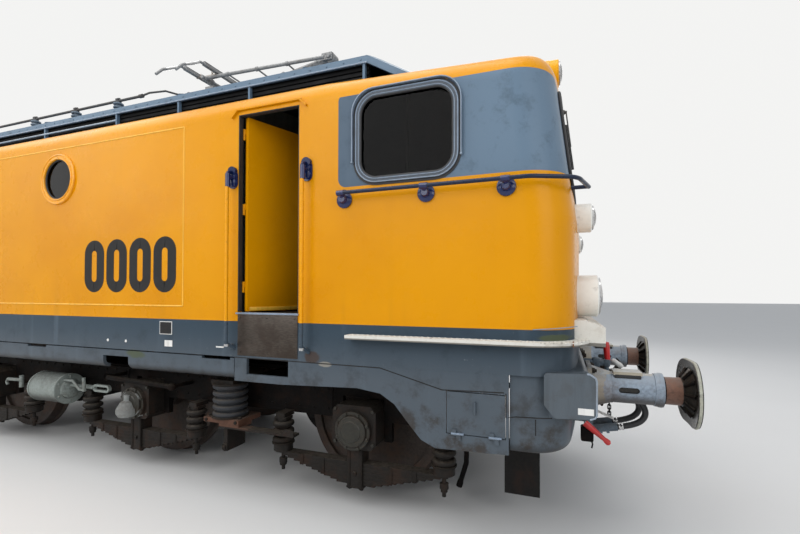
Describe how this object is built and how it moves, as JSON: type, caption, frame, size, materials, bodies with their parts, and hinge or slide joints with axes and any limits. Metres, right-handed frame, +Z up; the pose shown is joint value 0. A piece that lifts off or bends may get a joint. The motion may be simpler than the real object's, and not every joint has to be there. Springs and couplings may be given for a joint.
{
  "type": "electric locomotive",
  "caption": "Full-size main-line electric locomotive with end cabs, bogies that swivel, turning wheelsets, folding current collectors, cab doors and skirt hatches.",
  "frame": {"origin": "on the floor below the middle of the body: z = 0 at the bottom of the wheel flanges, so that the rail top is at z = 0.030", "axes": "+X along the body towards the cab that the picture shows, +Z up, -Y the side that the picture shows"},
  "size_m": [18.952, 3.14, 4.4884],
  "materials": {
    "yellow_paint": "satin, weathered",
    "grey_paint": "satin, dusty",
    "underframe_paint": "matt, dirty",
    "blue_black_paint": "gloss",
    "brake_dust_steel": "matt, rusty",
    "wheel_steel": "rolled, browned",
    "buffer_steel": "greased",
    "ledge_paint": "matt",
    "lamp_paint": "gloss",
    "pane": "clear",
    "frame_rubber": "matt",
    "rail_paint": "satin",
    "pantograph_steel": "satin",
    "roof_copper": "dull",
    "louvre_paint": "matt",
    "cab_paint": "satin",
    "seat_cloth": "woven",
    "hose_rubber": "matt"
  },
  "bodies": {
    "body_shell": {"aprons": "grey_paint", "buffer_cases": "underframe_paint", "buffer_heads": "buffer_steel", "bulkheads": "cab_paint", "cab_fittings": "cab_paint", "cab_fronts": "yellow_paint", "cab_sides": "yellow_paint", "centre_pins": "brake_dust_steel", "couplings": "buffer_steel", "cross_beams": "underframe_paint", "equipment_block": "cab_paint", "floor_deck": "underframe_paint", "glazing": "pane", "handrails": "rail_paint", "hose_a_high": "hose_rubber", "hose_a_low": "hose_rubber", "hose_b_high": "hose_rubber", "hose_b_low": "hose_rubber", "hose_fittings": "brake_dust_steel", "lamps": "lamp_paint", "ledges": "ledge_paint", "louvres": "louvre_paint", "machine_sides": "yellow_paint", "pantograph_bases": "pantograph_steel", "roof_cabs": "grey_paint", "roof_cover": "grey_paint", "roof_line": "roof_copper", "roof_mid": "grey_paint", "seat_pads": "seat_cloth", "skirts": "grey_paint", "solebars": "underframe_paint", "valances": "grey_paint", "window_frames": "frame_rubber"},
    "door_a_near": {"door_a_near": "yellow_paint"},
    "hatch_a_near": {"hatch_a_near": "grey_paint"},
    "door_a_far": {"door_a_far": "yellow_paint"},
    "hatch_a_far": {"hatch_a_far": "grey_paint"},
    "bogie_a": {"bogie_a_frame": "underframe_paint", "bogie_a_springing": "brake_dust_steel", "bogie_a_brakes": "underframe_paint"},
    "wheelset_a1": {"wheelset_a1": "wheel_steel"},
    "wheelset_a2": {"wheelset_a2": "wheel_steel"},
    "wheelset_a3": {"wheelset_a3": "wheel_steel"},
    "pantograph_a_lower": {"pantograph_a_lower": "pantograph_steel"},
    "pantograph_a_upper": {"pantograph_a_upper": "pantograph_steel"},
    "pantograph_a_head": {"pantograph_a_head": "pantograph_steel"},
    "door_b_near": {"door_b_near": "yellow_paint"},
    "hatch_b_near": {"hatch_b_near": "grey_paint"},
    "door_b_far": {"door_b_far": "yellow_paint"},
    "hatch_b_far": {"hatch_b_far": "grey_paint"},
    "bogie_b": {"bogie_b_frame": "underframe_paint", "bogie_b_springing": "brake_dust_steel", "bogie_b_brakes": "underframe_paint"},
    "wheelset_b1": {"wheelset_b1": "wheel_steel"},
    "wheelset_b2": {"wheelset_b2": "wheel_steel"},
    "wheelset_b3": {"wheelset_b3": "wheel_steel"},
    "pantograph_b_lower": {"pantograph_b_lower": "pantograph_steel"},
    "pantograph_b_upper": {"pantograph_b_upper": "pantograph_steel"},
    "pantograph_b_head": {"pantograph_b_head": "pantograph_steel"}
  },
  "joints": [
    {"name": "door_a_near_hinge", "type": "hinge", "parent": "body_shell", "child": "door_a_near", "pos_m": [6.129, -1.418, 2.38], "axis": [0, 0, 1], "range_deg": [-70, 20]},
    {"name": "hatch_a_near_hinge", "type": "hinge", "parent": "body_shell", "child": "hatch_a_near", "pos_m": [8.085, -1.488, 0.778], "axis": [1, 0, 0], "range_deg": [0, 120]},
    {"name": "door_a_far_hinge", "type": "hinge", "parent": "body_shell", "child": "door_a_far", "pos_m": [6.129, 1.418, 2.38], "axis": [0, 0, -1], "range_deg": [0, 90]},
    {"name": "hatch_a_far_hinge", "type": "hinge", "parent": "body_shell", "child": "hatch_a_far", "pos_m": [8.085, 1.488, 0.778], "axis": [-1, 0, 0], "range_deg": [0, 120]},
    {"name": "bogie_a_swivel", "type": "hinge", "parent": "body_shell", "child": "bogie_a", "pos_m": [4.6475, 0, 0.9], "axis": [0, 0, 1], "range_deg": [-2.5, 2.5]},
    {"name": "wheelset_a1_spin", "type": "hinge", "parent": "bogie_a", "child": "wheelset_a1", "pos_m": [7.07, 0, 0.655], "axis": [0, 1, 0], "continuous": true},
    {"name": "wheelset_a2_spin", "type": "hinge", "parent": "bogie_a", "child": "wheelset_a2", "pos_m": [4.6475, 0, 0.655], "axis": [0, 1, 0], "continuous": true},
    {"name": "wheelset_a3_spin", "type": "hinge", "parent": "bogie_a", "child": "wheelset_a3", "pos_m": [2.225, 0, 0.655], "axis": [0, 1, 0], "continuous": true},
    {"name": "pantograph_a_lift", "type": "hinge", "parent": "body_shell", "child": "pantograph_a_lower", "pos_m": [4.62, 0, 4.18], "axis": [0, -1, 0], "range_deg": [0, 45]},
    {"name": "pantograph_a_knee", "type": "hinge", "parent": "pantograph_a_lower", "child": "pantograph_a_upper", "pos_m": [6.155, 0, 4.42861], "axis": [0, -1, 0], "range_deg": [-99.5, 0]},
    {"name": "pantograph_a_tilt", "type": "hinge", "parent": "pantograph_a_upper", "child": "pantograph_a_head", "pos_m": [4.60379, 0, 4.32014], "axis": [0, -1, 0], "range_deg": [0, 54.5]},
    {"name": "door_b_near_hinge", "type": "hinge", "parent": "body_shell", "child": "door_b_near", "pos_m": [-6.129, -1.418, 2.38], "axis": [0, 0, -1], "range_deg": [0, 90]},
    {"name": "hatch_b_near_hinge", "type": "hinge", "parent": "body_shell", "child": "hatch_b_near", "pos_m": [-8.085, -1.488, 0.778], "axis": [1, 0, 0], "range_deg": [0, 120]},
    {"name": "door_b_far_hinge", "type": "hinge", "parent": "body_shell", "child": "door_b_far", "pos_m": [-6.129, 1.418, 2.38], "axis": [0, 0, 1], "range_deg": [0, 90]},
    {"name": "hatch_b_far_hinge", "type": "hinge", "parent": "body_shell", "child": "hatch_b_far", "pos_m": [-8.085, 1.488, 0.778], "axis": [-1, 0, 0], "range_deg": [0, 120]},
    {"name": "bogie_b_swivel", "type": "hinge", "parent": "body_shell", "child": "bogie_b", "pos_m": [-4.6475, 0, 0.9], "axis": [0, 0, 1], "range_deg": [-2.5, 2.5]},
    {"name": "wheelset_b1_spin", "type": "hinge", "parent": "bogie_b", "child": "wheelset_b1", "pos_m": [-7.07, 0, 0.655], "axis": [0, 1, 0], "continuous": true},
    {"name": "wheelset_b2_spin", "type": "hinge", "parent": "bogie_b", "child": "wheelset_b2", "pos_m": [-4.6475, 0, 0.655], "axis": [0, 1, 0], "continuous": true},
    {"name": "wheelset_b3_spin", "type": "hinge", "parent": "bogie_b", "child": "wheelset_b3", "pos_m": [-2.225, 0, 0.655], "axis": [0, 1, 0], "continuous": true},
    {"name": "pantograph_b_lift", "type": "hinge", "parent": "body_shell", "child": "pantograph_b_lower", "pos_m": [-4.62, 0, 4.18], "axis": [0, 1, 0], "range_deg": [0, 45]},
    {"name": "pantograph_b_knee", "type": "hinge", "parent": "pantograph_b_lower", "child": "pantograph_b_upper", "pos_m": [-6.155, 0, 4.42861], "axis": [0, 1, 0], "range_deg": [-99.5, 0]},
    {"name": "pantograph_b_tilt", "type": "hinge", "parent": "pantograph_b_upper", "child": "pantograph_b_head", "pos_m": [-4.60379, 0, 4.32014], "axis": [0, 1, 0], "range_deg": [0, 54.5]}
  ],
  "couplings": [
    {"joint": "pantograph_a_knee", "follows": "pantograph_a_lift", "ratio": -2.2},
    {"joint": "pantograph_a_tilt", "follows": "pantograph_a_lift", "ratio": 1.2},
    {"joint": "pantograph_b_knee", "follows": "pantograph_b_lift", "ratio": -2.2},
    {"joint": "pantograph_b_tilt", "follows": "pantograph_b_lift", "ratio": 1.2}
  ]
}
